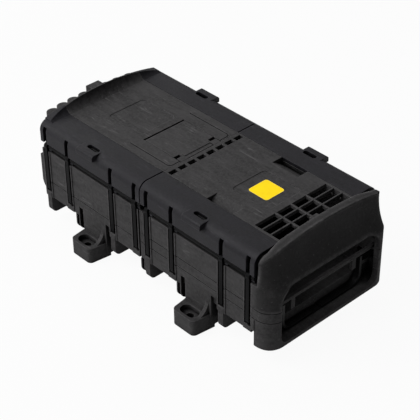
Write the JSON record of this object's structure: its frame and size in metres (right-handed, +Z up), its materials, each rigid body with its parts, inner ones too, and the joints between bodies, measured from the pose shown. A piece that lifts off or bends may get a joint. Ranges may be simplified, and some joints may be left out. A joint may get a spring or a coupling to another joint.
{
  "type": "fibre splice box",
  "caption": "Black plastic fibre splice box in two joined modules with hinged side strips, clamp posts, vented cover, feet and an open cable hood.",
  "frame": {"origin": "centre of the bounding box on the underside", "axes": "+X along the box towards the open cable hood, +Y to the back long side, +Z up"},
  "size_m": [0.2425, 0.1364, 0.0899],
  "materials": {
    "housing_plastic": "fine matt texture",
    "strip_plastic": "fine matt texture",
    "clamp_plastic": "satin",
    "rod_plastic": "satin",
    "inner_plastic": "satin",
    "tray_plastic": "satin",
    "lid_plastic": "satin",
    "holder_plastic": "satin",
    "strap_rubber": "matt",
    "screw_steel": "zinc plated"
  },
  "bodies": {
    "box": {"base_shell": "housing_plastic", "cable_saddle": "inner_plastic", "carrier_plate": "inner_plastic", "carrier_screws": "screw_steel", "cassette_1": "tray_plastic", "cassette_2": "tray_plastic", "cassette_3": "tray_plastic", "cassette_lid": "lid_plastic", "cassette_strap": "strap_rubber", "comb_screws": "screw_steel", "cover_far": "housing_plastic", "cover_near": "housing_plastic", "end_piece": "housing_plastic", "frame_far": "housing_plastic", "frame_near": "housing_plastic", "post_back_1": "clamp_plastic", "post_back_2": "clamp_plastic", "post_back_3": "clamp_plastic", "post_back_4": "clamp_plastic", "post_back_5": "clamp_plastic", "post_back_6": "clamp_plastic", "post_back_7": "clamp_plastic", "post_back_8": "clamp_plastic", "post_front_1": "clamp_plastic", "post_front_2": "clamp_plastic", "post_front_3": "clamp_plastic", "post_front_4": "clamp_plastic", "post_front_5": "clamp_plastic", "post_front_6": "clamp_plastic", "post_front_7": "clamp_plastic", "post_front_8": "clamp_plastic", "rod_back_far": "rod_plastic", "rod_back_near": "rod_plastic", "rod_front_far": "rod_plastic", "rod_front_near": "rod_plastic", "spacer_ring": "housing_plastic", "splice_holder_1": "holder_plastic", "splice_holder_2": "holder_plastic", "splice_holder_3": "holder_plastic", "tie_comb": "inner_plastic"},
    "strip_front_far": {"strip_front_far": "strip_plastic"},
    "strip_front_near": {"strip_front_near": "strip_plastic"},
    "strip_back_far": {"strip_back_far": "strip_plastic"},
    "strip_back_near": {"strip_back_near": "strip_plastic"},
    "inspection_flap": {"inspection_flap": "housing_plastic"}
  },
  "joints": [
    {"name": "strip_front_far_hinge", "type": "hinge", "parent": "box", "child": "strip_front_far", "pos_m": [-0.05175, -0.053, 0.0632], "axis": [1, 0, 0], "range_deg": [0, 100]},
    {"name": "strip_front_near_hinge", "type": "hinge", "parent": "box", "child": "strip_front_near", "pos_m": [0.05325, -0.053, 0.0632], "axis": [1, 0, 0], "range_deg": [0, 100]},
    {"name": "strip_back_far_hinge", "type": "hinge", "parent": "box", "child": "strip_back_far", "pos_m": [-0.05175, 0.053, 0.0632], "axis": [-1, 0, 0], "range_deg": [0, 100]},
    {"name": "strip_back_near_hinge", "type": "hinge", "parent": "box", "child": "strip_back_near", "pos_m": [0.05325, 0.053, 0.0632], "axis": [-1, 0, 0], "range_deg": [0, 100]},
    {"name": "inspection_flap_hinge", "type": "hinge", "parent": "box", "child": "inspection_flap", "pos_m": [-0.03545, 0, 0.08025], "axis": [0, -1, 0], "range_deg": [0, 95]}
  ]
}
